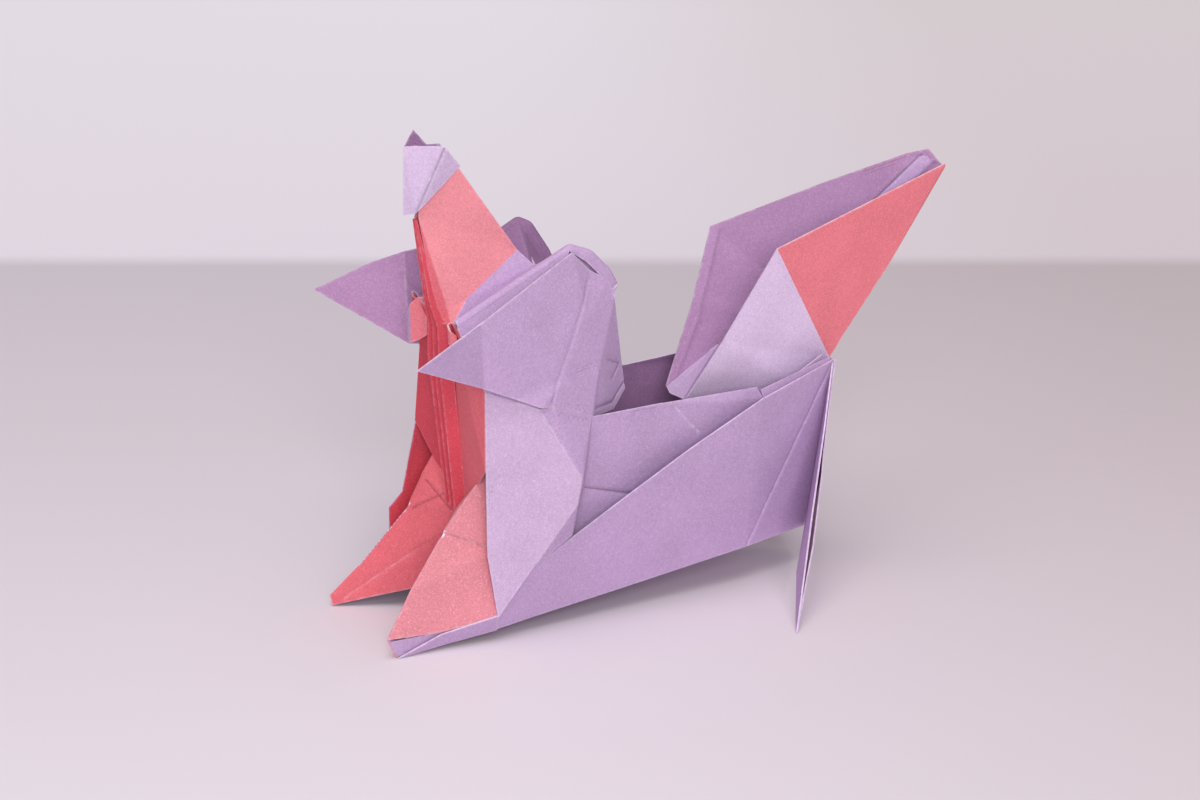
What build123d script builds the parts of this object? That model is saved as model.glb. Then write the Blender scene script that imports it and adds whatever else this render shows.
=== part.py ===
from build123d import *
import os

# Folded paper dog: one square sheet, folded into a bowing dog with raised head and tail.
# Millimetres, +Z up. The dog faces -X and stands on its two paws and two hind feet.
# Every corner of the folded paper is a share of the sizes of the part that carries it:
# how far along, how far out from the middle, how far up.

# folded paper
sheet = 0.40                # stacked layers of one facet
nose_layers = 0.45          # thickness over the turned-over nose
sharpest_lean_share = 0.45  # limits the mitre where facets meet at a sharp fold
same_facing_share = 0.9999  # facets closer to parallel than this count as one
corner_decimals = 4         # corners that agree this far are one corner

# body
body_length = 72.0          # paw line to hip
body_half_width = 12.5
hip_height = 31.5

# neck and chest
chest_setback = 14.0        # paw line to chest
neck_depth = 24.0
neck_half_width = 14.0
neck_height = 48.0
pleat_count = 3
pleat_depth = 1.0
pleat_lean = 0.3            # pleats sit a little towards the viewer

# head
ear_setback = 1.0           # paw line to ear tip
ear_reach = 35.0            # ear tip to back of head
ear_spread = 22.0           # middle to ear tip
jaw_height = 33.0
head_rise = 22.0            # jaw to brow

# snout
snout_setback = 8.0
snout_reach = 18.0
snout_half_width = 5.0
throat_height = 44.0
snout_rise = 26.0

# front legs, folded by hand and not quite alike
leg_reach = 15.3            # chest to paw line
leg_height = 25.0
leg_half_width = 12.6
near_paw_spread = 12.5
far_paw_spread = 9.0
near_paw_ahead = 0.0
far_paw_ahead = 1.9

# hind legs
hind_foot_forward = 17.3    # hip to foot, towards the head
hind_foot_spread = 27.0

# tail
tail_seat = 23.5            # hip to the tail's front corner
tail_reach = 44.0
tail_half_width = 8.5
tail_root_height = 20.0
tail_rise = 38.0


# corners of each part: along, out, up
body_shares = {
    "rim_front": (0.212, 1.020, 0.130),
    "rim_1": (0.286, 1.020, 0.320),
    "rim_2": (0.500, 0.960, 0.590),
    "rim_3": (0.633, 0.890, 0.746),
    "rim_4": (0.806, 0.720, 0.908),
    "hip": (1.000, 0.360, 1.000),
    "hem_0": (0.217, 0.950, 0.048),
    "hem_1": (0.305, 0.880, 0.067),
    "hem_2": (0.493, 0.760, 0.108),
    "hem_3": (0.790, 0.560, 0.175),
    "heel": (0.953, 0.256, 0.182),
    "keel_0": (0.225, 0.000, 0.160),
    "keel_1": (0.493, 0.000, 0.200),
    "keel_2": (0.790, 0.000, 0.255),
    "stern_low": (0.970, 0.000, 0.210),
    "stern_top": (1.020, 0.000, 0.970),
    "top_0": (0.333, 0.860, 0.958),
    "top_1": (0.429, 0.850, 0.956),
    "top_2": (0.586, 0.720, 0.955),
    "top_3": (0.812, 0.500, 0.937),
    "notch": (0.826, 0.520, 0.878),
    "top_hip": (0.986, 0.240, 1.018),
    "fold_0": (0.333, 0.800, 0.630),
    "fold_1": (0.418, 0.744, 0.616),
    "fold_2": (0.520, 0.688, 0.546),
    "foot_0": (0.333, 0.800, 0.085),
    "foot_1": (0.493, 0.710, 0.125),
    "foot_2": (0.790, 0.500, 0.200),
    "foot_3": (0.944, 0.200, 0.210),
}
far_body_shares = {
    "top_0": (0.333, 0.900, 0.930),
    "top_1": (0.429, 0.900, 0.930),
    "top_2": (0.628, 0.864, 0.943),
    "top_3": (0.792, 0.576, 1.022),
    "notch": (0.806, 0.590, 0.960),
}
neck_shares = {
    "kite_top": (0.015, 0.860, 0.755),
    "kite_a": (0.010, 0.870, 0.520),
    "kite_b": (0.005, 0.900, 0.270),
    "kite_bump": (0.014, 0.908, 0.232),
    "kite_foot": (0.055, 0.940, 0.077),
    "crease_top": (0.317, 0.970, 0.694),
    "shoulder": (0.575, 0.990, 0.467),
    "kite_low": (0.546, 0.980, 0.392),
    "pocket": (0.275, 0.935, 0.212),
    "ridge_top": (0.904, 0.485, 0.950),
    "ridge_1": (0.767, 0.643, 0.762),
    "ridge_2": (0.690, 0.765, 0.630),
    "ridge_3": (0.617, 0.857, 0.430),
    "ridge_4": (0.533, 0.880, 0.287),
    "crease_low": (0.408, 0.950, 0.692),
    "crease_mid": (0.500, 0.836, 0.756),
    "crease_high": (0.683, 0.680, 0.923),
    "poll": (0.844, 0.521, 0.981),
    "rim_a": (1.004, 0.286, 0.725),
    "rim_b": (1.025, 0.286, 0.652),
    "rim_c": (0.908, 0.450, 0.610),
    "rim_d": (0.733, 0.686, 0.620),
    "gullet": (-0.050, 0.343, 0.900),
    "throat": (-0.050, 0.220, 0.930),
    "breast": (0.042, 0.160, 0.342),
}
far_neck_shares = {
    "kite_top": (-0.012, 0.820, 0.758),
    "kite_a": (-0.048, 0.843, 0.525),
    "kite_b": (-0.140, 0.864, 0.304),
    "kite_bump": (-0.225, 0.871, 0.258),
    "kite_foot": (-0.228, 0.871, 0.156),
}
head_shares = {
    "tip": (0.010, 0.980, 0.477),
    "ear_bend": (0.203, 0.809, 0.568),
    "ear_up": (0.331, 0.695, 0.627),
    "ear_low": (0.346, 0.677, 0.210),
    "ear_mid": (0.486, 0.650, 0.105),
    "ear_end": (0.591, 0.650, 0.027),
    "brow": (0.783, 0.410, 0.923),
    "roll_out_front": (0.309, 0.405, 0.527),
    "roll_out_rear": (0.780, 0.377, 0.927),
    "roll_top_front": (0.306, 0.373, 0.564),
    "roll_top_rear": (0.791, 0.345, 0.959),
    "roll_in_front": (0.317, 0.336, 0.532),
    "roll_in_rear": (0.783, 0.314, 0.927),
    "valley_front": (0.331, 0.227, 0.500),
    "valley_rear": (0.723, 0.041, 0.760),
    "band_1": (0.889, 0.318, 0.900),
    "band_2": (0.983, 0.282, 0.750),
    "band_3": (1.023, 0.255, 0.645),
    "band_low_1": (0.780, 0.340, 0.860),
    "band_low_2": (0.930, 0.280, 0.640),
    "roof_out": (0.760, 0.373, 0.864),
    "roof_rear": (0.960, 0.314, 0.690),
    "roof_low": (0.930, -0.030, 0.550),
    "roof_front": (0.737, -0.030, 0.727),
}
far_head_shares = {
    "ear_bend": (0.220, 0.818, 0.659),
    "ear_up": (0.343, 0.705, 0.741),
    "ear_low": (0.340, 0.636, 0.141),
    "band_1": (0.837, 0.318, 0.897),
    "band_2": (0.901, 0.282, 0.736),
    "band_3": (0.937, 0.255, 0.610),
    "band_low_2": (0.852, 0.282, 0.631),
    "roof_rear": (0.880, 0.314, 0.677),
}
snout_shares = {
    "ridge_top": (0.428, 0.000, 0.780),
    "ridge_low": (0.894, 0.000, 0.308),
    "lip_top": (0.080, 0.180, 0.552),
    "lip_tuck": (0.090, 0.200, 0.660),
    "ridge_tuck": (0.360, 0.040, 0.850),
    "chin": (0.172, 0.440, 0.060),
    "cheek": (0.389, 0.760, 0.112),
    "nose_front": (0.000, -0.030, 0.923),
    "nose_low": (-0.015, -0.030, 0.561),
    "nose_side": (0.299, 0.220, 0.908),
    "nose_crease": (0.072, 0.260, 0.575),
    "nose_back": (0.439, -0.030, 0.792),
    "nose_peak": (0.072, -0.030, 1.005),
    "nose_peak_back": (0.200, 0.060, 0.900),
}
far_snout_shares = {
    "chin": (0.180, 0.200, 0.060),
    "lip_top": (0.077, 0.060, 0.547),
}
leg_shares = {
    "top": (1.030, 0.675, 0.940),
    "fore": (0.800, 0.595, 0.745),
    "knee": (0.630, 0.600, 0.610),
    "shin": (0.235, 0.860, 0.360),
    "paw_top": (-0.040, 1.000, 0.116),
    "paw_tip": (0.050, 0.985, 0.004),
    "sole": (0.464, 0.980, 0.104),
    "base": (1.000, 1.030, 0.148),
    "edge": (1.050, 0.870, 0.510),
    "groin": (0.970, -0.030, 0.550),
    "in_1": (0.657, 0.440, 0.340),
    "in_2": (0.267, 0.700, 0.120),
    "low_1": (0.800, 0.270, 0.180),
    "low_2": (0.640, 0.354, 0.110),
    "breast": (0.990, -0.030, 0.640),
    "lip_tip": (0.060, 1.005, 0.000),
    "lip_up": (0.470, 1.015, 0.100),
    "lip_base": (1.000, 1.045, 0.160),
    "lip_hem": (1.020, 0.945, 0.055),
    "lip_low": (0.520, 0.950, 0.024),
}
far_leg_shares = {
    "knee": (0.660, 0.620, 0.560),
    "shin": (0.260, 0.860, 0.228),
    "paw_top": (0.000, 1.000, 0.064),
    "paw_tip": (0.023, 0.965, 0.004),
    "in_2": (0.267, 0.700, 0.045),
}
hind_shares = {
    "hip": (0.977, 0.185, 0.987),
    "edge_1": (0.769, 0.356, 0.740),
    "edge_2": (0.445, 0.622, 0.430),
    "edge_3": (0.168, 0.856, 0.156),
    "foot": (0.000, 1.000, 0.000),
    "heel": (0.803, 0.133, 0.190),
    "sole_1": (0.324, 0.610, 0.140),
    "sole_2": (0.087, 0.889, 0.022),
    "rear_hip": (1.058, 0.120, 0.987),
    "rear_1": (0.734, 0.393, 0.620),
    "rear_2": (0.705, 0.430, 0.524),
    "rear_3": (0.416, 0.696, 0.280),
    "rear_4": (0.283, 0.790, 0.178),
}
tail_shares = {
    "tip": (0.998, 0.020, 0.984),
    "far_tip": (0.986, 0.140, 1.032),
    "near_edge": (0.991, -0.060, 1.003),
    "far_edge": (0.934, 0.260, 1.040),
    "far_mid": (0.600, 0.590, 0.940),
    "near_corner": (0.268, -0.965, 0.797),
    "far_corner": (0.214, 0.965, 0.792),
    "near_side": (0.112, -0.640, 0.445),
    "far_side": (0.116, 0.610, 0.520),
    "near_low": (0.007, -0.376, 0.218),
    "far_low": (0.000, 0.376, 0.218),
    "spine_base": (0.575, 0.000, 0.274),
    "spine_turn": (0.622, 0.000, 0.353),
    "spine_mid": (0.789, 0.000, 0.616),
    "root_rear": (0.523, 0.000, 0.105),
    "root_front": (0.170, 0.000, 0.040),
}


def place(shares, start, spans, side):
    """Corners in millimetres. side is -1 towards the viewer and 1 on the far side."""
    reach, half_width, rise = spans
    corners = {}
    for name, (along, out, up) in shares.items():
        corners[name] = Vector(start[0] + along * reach, side * out * half_width, start[1] + up * rise)
    return corners


def facets(corners, outlines):
    """Flat panels as lists of corners, one for each line of names."""
    return [[corners[name] for name in outline.split()] for outline in outlines]


def corner_key(point):
    """Rounded place of a corner, by which neighbouring facets find each other."""
    return tuple(round(value, corner_decimals) for value in (point.X, point.Y, point.Z))


def triangles_of(panels):
    """Triangles fanned from each panel's first corner, all turned the same way."""
    loose = []
    for panel in panels:
        for second, third in zip(panel[1:], panel[2:]):
            loose.append([panel[0], second, third])
    turned = [loose.pop(0)]
    waiting = list(turned)
    while waiting:
        first = [corner_key(p) for p in waiting.pop()]
        edges = {(first[i], first[(i + 1) % 3]) for i in range(3)}
        for other in list(loose):
            keys = [corner_key(p) for p in other]
            others = {(keys[i], keys[(i + 1) % 3]) for i in range(3)}
            if edges & others:
                other = [other[0], other[2], other[1]]
            elif not edges & {(b, a) for a, b in others}:
                continue
            loose = [t for t in loose if [corner_key(p) for p in t] != keys]
            turned.append(other)
            waiting.append(other)
    return turned


def lift(normals, half):
    """Step from the middle of the sheet to its face at a corner where facets meet."""
    mean = sum(normals, Vector(0, 0, 0)).normalized()
    lean = sum(normal.dot(mean) for normal in normals) / len(normals)
    return mean * (half / max(lean, sharpest_lean_share))


def fold(panels, thickness=None):
    """One closed solid of a folded sheet, its thickness half to each side of the panels."""
    half = (thickness or sheet) / 2
    triangles = triangles_of(panels)
    normals = {}
    for a, b, c in triangles:
        normal = (b - a).cross(c - a).normalized()
        for point in (a, b, c):
            around = normals.setdefault(corner_key(point), [])
            if all(normal.dot(known) < same_facing_share for known in around):
                around.append(normal)
    over, under = {}, {}
    for a, b, c in triangles:
        for point in (a, b, c):
            key = corner_key(point)
            step = lift(normals[key], half)
            over[key] = point + step
            under[key] = point - step
    edges = {}
    faces = []
    for triangle in triangles:
        keys = [corner_key(p) for p in triangle]
        faces.append([over[key] for key in keys])
        faces.append([under[key] for key in reversed(keys)])
        for i in range(3):
            edges[(keys[i], keys[(i + 1) % 3])] = True
    for start, end in edges:
        if (end, start) not in edges:
            faces.append([under[start], under[end], over[end]])
            faces.append([under[start], over[end], over[start]])
    shell = Shell([Face(Wire.make_polygon(face, close=True)) for face in faces])
    return Solid(shell)


def of_side(shares, far_shares, side):
    """The far side keeps its own corners where the hand folds differ."""
    return {**shares, **far_shares} if side > 0 else shares


def body_corners(side):
    """Corners of the body, measured from the paw line."""
    shares = of_side(body_shares, far_body_shares, side)
    return place(shares, (0, 0), (body_length, body_half_width, hip_height), side)


def neck_corners(side):
    """Corners of the neck and kite flap, measured from the chest."""
    shares = of_side(neck_shares, far_neck_shares, side)
    return place(shares, (chest_setback, 0), (neck_depth, neck_half_width, neck_height), side)


def head_corners(side):
    """Corners of the head, measured from the ear tip and the jaw."""
    shares = of_side(head_shares, far_head_shares, side)
    return place(shares, (ear_setback, jaw_height), (ear_reach, ear_spread, head_rise), side)


def snout_corners(side):
    """Corners of the snout and nose, measured from the throat."""
    shares = of_side(snout_shares, far_snout_shares, side)
    spans = (snout_reach, snout_half_width, snout_rise)
    return place(shares, (snout_setback, throat_height), spans, side)


def hull():
    """Boat of the body: outer flaps, belly and stern."""
    panels = []
    for side in (-1, 1):
        panels += facets(body_corners(side), [
            "rim_front rim_1 hem_1 hem_0",
            "hem_2 hem_1 rim_1 rim_2",
            "hem_3 hem_2 rim_2 rim_3 rim_4 hip",
            "hip heel hem_3",
            "hip stern_top stern_low heel",
            "hem_0 hem_1 keel_0",
            "hem_1 hem_2 keel_1 keel_0",
            "hem_2 hem_3 keel_2 keel_1",
            "hem_3 heel stern_low keel_2",
        ])
    return fold(panels)


def inner_wall(side):
    """Inner flap of the trough, behind the outer flap."""
    return fold(facets(body_corners(side), [
        "top_0 top_1 fold_1 fold_0",
        "top_1 top_2 fold_2 fold_1",
        "foot_2 fold_2 top_2 top_3 notch top_hip foot_3",
        "foot_1 foot_0 fold_0 fold_1 fold_2",
        "foot_1 fold_2 foot_2",
    ]))


def neck_side(side):
    """Ear, neck wall, kite flap and the open back edge of the neck."""
    corners = neck_corners(side)
    for name, corner in head_corners(side).items():
        corners[name] = corner
    return fold(facets(corners, [
        "ear_low tip ear_bend ear_up",
        "crease_mid crease_low ear_end ear_mid ear_low ear_up",
        "crease_mid ear_up brow crease_high",
        "brow poll crease_high",
        "crease_high poll ridge_top",
        "crease_mid crease_high ridge_top ridge_1",
        "crease_low crease_mid ridge_1 ridge_2",
        "crease_top crease_low ridge_2 ridge_3 shoulder",
        "shoulder ridge_3 kite_low",
        "kite_low ridge_3 ridge_4 pocket",
        "kite_a kite_top crease_top shoulder kite_low pocket kite_b",
        "pocket kite_foot kite_bump kite_b",
        "ridge_1 ridge_top rim_a",
        "ridge_1 rim_a rim_b rim_c rim_d ridge_2",
    ]))


def cheek(side):
    """Layer under the ear that rolls over above it and runs down to the snout."""
    corners = neck_corners(side)
    for name, corner in head_corners(side).items():
        corners[name] = corner
    return fold(facets(corners, [
        "kite_top crease_top roll_out_rear roll_out_front",
        "roll_out_front roll_out_rear roll_top_rear roll_top_front",
        "roll_top_front roll_top_rear roll_in_rear roll_in_front",
        "roll_in_front roll_in_rear valley_rear valley_front",
    ]))


def crown(side):
    """Inner layer that closes the head between the brows and falls to the middle."""
    return fold(facets(head_corners(side), ["roof_out roof_rear roof_low roof_front"]))


def brow_band(side):
    """Raised edge behind the brow, down to the back of the neck."""
    corners = neck_corners(side)
    for name, corner in head_corners(side).items():
        corners[name] = corner
    return fold(facets(corners, [
        "band_low_1 roll_top_rear band_1 band_2 band_low_2",
        "band_low_2 band_2 band_3",
        "band_low_2 band_3 ridge_top",
    ]))


def snout_side(side):
    """One cheek of the snout, from its upper ridge to the free front edge."""
    corners = snout_corners(side)
    head = head_corners(side)
    corners["valley_front"] = head["valley_front"]
    corners["valley_rear"] = head["valley_rear"]
    return fold(facets(corners, [
        "ridge_top ridge_low cheek chin lip_top",
        "ridge_top lip_top lip_tuck ridge_tuck",
        "ridge_low valley_rear valley_front cheek",
        "cheek valley_front chin",
    ]))


def nose(side):
    """One side of the snout's tip, turned over to the front and crossing the middle a little."""
    return fold(facets(snout_corners(side), [
        "nose_front nose_side nose_crease nose_low",
        "nose_side nose_back nose_crease",
        "nose_front nose_peak nose_peak_back nose_side",
    ]), nose_layers)


def chest():
    """Breast between the kite flaps, pleated down the middle."""
    near, far = neck_corners(-1), neck_corners(1)
    near["collar"] = head_corners(-1)["roll_out_front"]
    far["collar"] = head_corners(1)["roll_out_front"]
    lines = []
    for step in range(2 * pleat_count + 1):
        share = step / (2 * pleat_count)
        crest = Vector(-pleat_depth * (step % 2), -pleat_lean, 0)
        high = near["throat"] + (far["throat"] - near["throat"]) * share + crest
        low = near["breast"] + (far["breast"] - near["breast"]) * share + crest
        lines.append((high, low))
    (near_high, near_low), (far_high, far_low) = lines[0], lines[-1]
    panels = [[near["collar"], near["kite_top"], near["kite_a"], near_low, near_high, near["gullet"]]]
    for left, right in zip(lines, lines[1:]):
        panels.append([left[0], left[1], right[1], right[0]])
    panels.append([far["collar"], far["kite_top"], far["kite_a"], far_low, far_high, far["gullet"]])
    return fold(panels)


def leg_corners(side):
    """The leg widens or narrows from the chest to its own paw."""
    ahead = near_paw_ahead if side < 0 else far_paw_ahead
    spread = near_paw_spread if side < 0 else far_paw_spread
    reach = leg_reach + ahead
    corners = {}
    for name, (along, out, up) in of_side(leg_shares, far_leg_shares, side).items():
        width = spread + (leg_half_width - spread) * along
        corners[name] = Vector(along * reach - ahead, side * out * width, up * leg_height)
    return corners


def leg(side):
    """One front leg, folded along its ridge; its inner face crosses to the other leg's under the breast."""
    return fold(facets(leg_corners(side), [
        "knee shin paw_top sole base edge",
        "knee edge top fore",
        "fore top breast groin in_1 knee",
        "knee in_1 in_2 shin",
        "shin in_2 paw_tip paw_top",
        "in_1 groin low_1 low_2",
        "in_1 low_2 in_2",
    ]))


def leg_lip(side):
    """Front end of the outer flap, which wraps under the paw."""
    return fold(facets(leg_corners(side), [
        "lip_tip lip_up lip_low",
        "lip_up lip_base lip_hem lip_low",
    ]))


def hind_corners(side):
    """Corners of a hind leg, measured forward from the hip."""
    start = (body_length - hind_foot_forward, 0)
    return place(hind_shares, start, (hind_foot_forward, hind_foot_spread, hip_height), side)


def hind_leg_front(side):
    """Facet of the hind leg that faces the head."""
    return fold(facets(hind_corners(side), [
        "sole_1 heel hip edge_1 edge_2",
        "sole_1 edge_2 edge_3 sole_2",
        "sole_2 edge_3 foot",
    ]))


def hind_leg_rear(side):
    """Facet of the hind leg that faces the tail."""
    return fold(facets(hind_corners(side), [
        "sole_1 heel rear_hip rear_1 rear_2 rear_3",
        "sole_1 rear_3 rear_4 sole_2",
        "sole_2 rear_4 foot",
    ]))


def tail():
    """Kite folded lengthwise, open to the front, with its root in the trough."""
    start = (body_length - tail_seat, tail_root_height)
    corners = place(tail_shares, start, (tail_reach, tail_half_width, tail_rise), 1)
    return fold(facets(corners, [
        "near_corner near_edge tip spine_mid spine_turn",
        "near_corner spine_turn spine_base root_rear root_front near_low near_side",
        "far_corner far_mid far_edge far_tip tip spine_mid spine_turn",
        "far_corner spine_turn spine_base root_rear root_front far_low far_side",
    ]))


def dog():
    """Every layer of the folded sheet."""
    layers = [hull(), chest(), tail()]
    for side in (-1, 1):
        layers += [inner_wall(side), neck_side(side), cheek(side), brow_band(side), crown(side)]
        layers += [snout_side(side), nose(side), leg(side), leg_lip(side)]
        layers += [hind_leg_front(side), hind_leg_rear(side)]
    return layers


def folded_sheet():
    """All layers as one solid, centred over the origin and standing on z = 0."""
    layers = dog()
    whole = layers[0]
    for layer in layers[1:]:
        whole = whole.fuse(layer)
    box = whole.bounding_box()
    middle = box.center()
    return whole.moved(Location((-middle.X, -middle.Y, -box.min.Z)))


os.makedirs("parts", exist_ok=True)
export_step(folded_sheet(), "parts/folded_sheet.step")
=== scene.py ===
import bpy
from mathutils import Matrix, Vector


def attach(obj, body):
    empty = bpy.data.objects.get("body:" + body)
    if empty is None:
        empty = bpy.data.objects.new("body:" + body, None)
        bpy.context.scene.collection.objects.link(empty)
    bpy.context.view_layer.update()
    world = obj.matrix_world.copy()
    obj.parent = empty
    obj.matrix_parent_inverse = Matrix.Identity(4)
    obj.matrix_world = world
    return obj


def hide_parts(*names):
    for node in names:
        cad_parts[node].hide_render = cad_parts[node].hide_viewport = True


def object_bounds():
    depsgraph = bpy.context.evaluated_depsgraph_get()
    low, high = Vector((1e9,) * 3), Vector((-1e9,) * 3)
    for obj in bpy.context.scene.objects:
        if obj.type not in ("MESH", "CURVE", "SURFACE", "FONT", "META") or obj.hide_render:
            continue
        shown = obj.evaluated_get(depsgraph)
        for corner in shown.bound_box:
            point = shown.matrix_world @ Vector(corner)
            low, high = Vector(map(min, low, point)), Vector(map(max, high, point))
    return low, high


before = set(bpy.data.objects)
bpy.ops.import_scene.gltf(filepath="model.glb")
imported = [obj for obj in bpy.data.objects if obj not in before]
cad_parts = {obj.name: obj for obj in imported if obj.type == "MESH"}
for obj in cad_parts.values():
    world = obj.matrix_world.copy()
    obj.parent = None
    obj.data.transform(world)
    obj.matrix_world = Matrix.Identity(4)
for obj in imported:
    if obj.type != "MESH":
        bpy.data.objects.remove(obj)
cadLow, cadHigh = [tuple(corner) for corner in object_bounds()]

import bpy
import math
import numpy as np
from mathutils import Vector

# A dog folded from one square of two-tone paper, lavender on one face and coral on the other.
# The dog looks towards -X. Each sheet is a set of flat panels between named corners, and a corner is
# a share of the part that carries it: how far along, how far out from the middle, how far up.

mm = 0.001
pawReach = 1.975 * mm                    # the far paw stands this far ahead of the paw line
pawLine = cadLow[0] + pawReach
footLift = 0.081 * mm                    # lifts the corners until the folded tips rest on the table

paper = {
    "layer": 0.24 * mm,                  # thickness of one sheet
    "fineCell": 0.25 * mm,               # longest edge beside a fold or a raw edge
    "openCell": 1.1 * mm,                # longest edge in the middle of a panel
    "fineReach": 0.42 * mm,              # how far the fine cells reach from a line
    "cellGrowth": 0.7,                   # how fast they grow beyond it
    "cellSlack": 1.35,                   # an edge this much longer than its cell is halved
    "halvings": 12,
    "merge": 0.001 * mm,                 # corners this close are one corner
    "decimals": 7,                       # and so are corners that agree this far, in metres
    "bow": 0.30 * mm,                    # how far a panel waves out of its plane
    "bowSize": 11 * mm,
    "bowReach": 4 * mm,                  # panels stay flat this close to their edges
    "bowPower": 1.5,                     # how slowly the wave sets in
    "foldReach": 0.36 * mm,              # points this close to a fold are smoothed
    "rawReach": 0.05 * mm,               # points this close to a raw edge are not
    "wornWidth": 0.15 * mm,
    "rawWear": 0.26,                     # wear along cut edges
    "foldWear": 0.22,                    # wear along sharp folds
    "softWear": 0.02,                    # wear along shallow folds
    "sharpFold": 0.35,                   # sine of the fold that counts as sharp
    "noneSharp": 1.1,                    # no fold counts as sharp
    "smoothing": 0.5,                    # share of the way that a smoothed point moves
    "leastWeight": 0.01,                 # points that weigh less stay out of a vertex group
    "groove": 0.14 * mm,                 # depth of a flattened-out crease
    "grooveWidth": 0.28 * mm,
    # painted shade: a pressed crease darkens its paper to this share
    "creaseShadeTone": 0.35,                  # how dark its bottom is
    "smoothAngle": math.radians(42),
}


# Colours

def fromScreen(red, green, blue):
    # linear colour for a colour read off the screen, 0 to 255
    linear = []
    for share in (red / 255, green / 255, blue / 255):
        linear.append(share / 12.92 if share < 0.04045 else ((share + 0.055) / 1.055) ** 2.4)
    return (*linear, 1.0)


grainLook = {
    "fine": (4200, 2),                   # scale and detail of the fibres
    "middle": (1500, 3),
    "mottle": (140, 4),                  # broad cloudiness
    "fineShare": 0.75,                   # share of the fibres in the grain
    "mottleShare": 0.25,                 # share of the mottling in the tone
    "specks": (0.60, 0.74),              # fibres lighter than this show as flecks
    "tones": (0.38, 0.62),               # the tone's darkest and lightest value
    "darkest": 0.88,                     # times the ink's colour
    "lightest": 1.10,
    "depth": 0.04 * mm,
    "strength": 0.5,
    "specular": 0.25,
}

wornLook = {
    "fibre": fromScreen(244, 232, 244),
    "patches": (900, 4),                 # scale and detail of what breaks up a worn line
    "range": (0.40, 0.62),
    "least": 0.15,                       # share of the wear between the patches
    "most": 1.15,
}


def link(tree, source, target):
    tree.links.new(source, target)


def addNode(tree, kind, **values):
    node = tree.nodes.new(kind)
    for name, value in values.items():
        setattr(node, name, value)
    return node


def addNoise(tree, place, look):
    noise = addNode(tree, "ShaderNodeTexNoise")
    noise.inputs["Scale"].default_value, noise.inputs["Detail"].default_value = look
    link(tree, place.outputs["Object"], noise.inputs["Vector"])
    return noise.outputs["Fac"]


def addBlend(tree, first, second, share):
    # share of the first value, and the rest of the second
    rest = addNode(tree, "ShaderNodeMath", operation="MULTIPLY")
    link(tree, second, rest.inputs[0])
    rest.inputs[1].default_value = 1 - share
    blend = addNode(tree, "ShaderNodeMath", operation="MULTIPLY_ADD")
    link(tree, first, blend.inputs[0])
    blend.inputs[1].default_value = share
    link(tree, rest.outputs[0], blend.inputs[2])
    return blend.outputs[0]


def addRange(tree, value, start, end, kind="LINEAR"):
    span = addNode(tree, "ShaderNodeMapRange", interpolation_type=kind)
    link(tree, value, span.inputs["Value"])
    span.inputs["From Min"].default_value = start
    span.inputs["From Max"].default_value = end
    return span


def addMix(tree, factor, colour, other, kind="MIX"):
    mix = addNode(tree, "ShaderNodeMix", data_type="RGBA", blend_type=kind)
    link(tree, factor, mix.inputs["Factor"])
    link(tree, colour, mix.inputs["A"])
    mix.inputs["B"].default_value = other
    return mix.outputs["Result"]


def startGroup(name, outputs):
    group = bpy.data.node_groups.new(name, "ShaderNodeTree")
    for output in outputs:
        group.interface.new_socket(output, in_out="OUTPUT", socket_type="NodeSocketFloat")
    return group, addNode(group, "NodeGroupOutput"), addNode(group, "ShaderNodeTexCoord")


def makePaperGrain():
    # fine fibre grain and broad mottling, as a tone around one half, a height and light specks
    group, out, place = startGroup("paperGrain", ("Tone", "Height", "Specks"))
    fine = addNoise(group, place, grainLook["fine"])
    middle = addNoise(group, place, grainLook["middle"])
    mottle = addNoise(group, place, grainLook["mottle"])
    grain = addBlend(group, fine, middle, grainLook["fineShare"])
    link(group, addBlend(group, mottle, grain, grainLook["mottleShare"]), out.inputs["Tone"])
    link(group, grain, out.inputs["Height"])
    link(group, addRange(group, fine, *grainLook["specks"]).outputs["Result"], out.inputs["Specks"])
    return group


def makeWearAndCreaseShade():
    # where the paper is rubbed through to white fibres, broken up along the line, and the painted shade
    # along pressed creases
    group, out, place = startGroup("wearAndCreaseShade", ("Worn", "CreaseShade"))
    wear = addNode(group, "ShaderNodeAttribute", attribute_name="wear")
    patches = addRange(group, addNoise(group, place, wornLook["patches"]), *wornLook["range"])
    patches.inputs["To Min"].default_value = wornLook["least"]
    patches.inputs["To Max"].default_value = wornLook["most"]
    worn = addNode(group, "ShaderNodeMath", operation="MULTIPLY", use_clamp=True)
    link(group, wear.outputs["Fac"], worn.inputs[0])
    link(group, patches.outputs["Result"], worn.inputs[1])
    link(group, worn.outputs[0], out.inputs["Worn"])
    paintedCreaseShade = addNode(group, "ShaderNodeAttribute", attribute_name="paintedCreaseShade")
    link(group, paintedCreaseShade.outputs["Fac"], out.inputs["CreaseShade"])
    return group


paperGrain = makePaperGrain()
wearAndCreaseShade = makeWearAndCreaseShade()


def toned(colour, share):
    return tuple(min(1, value * share) for value in colour[:3]) + (1,)


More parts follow.
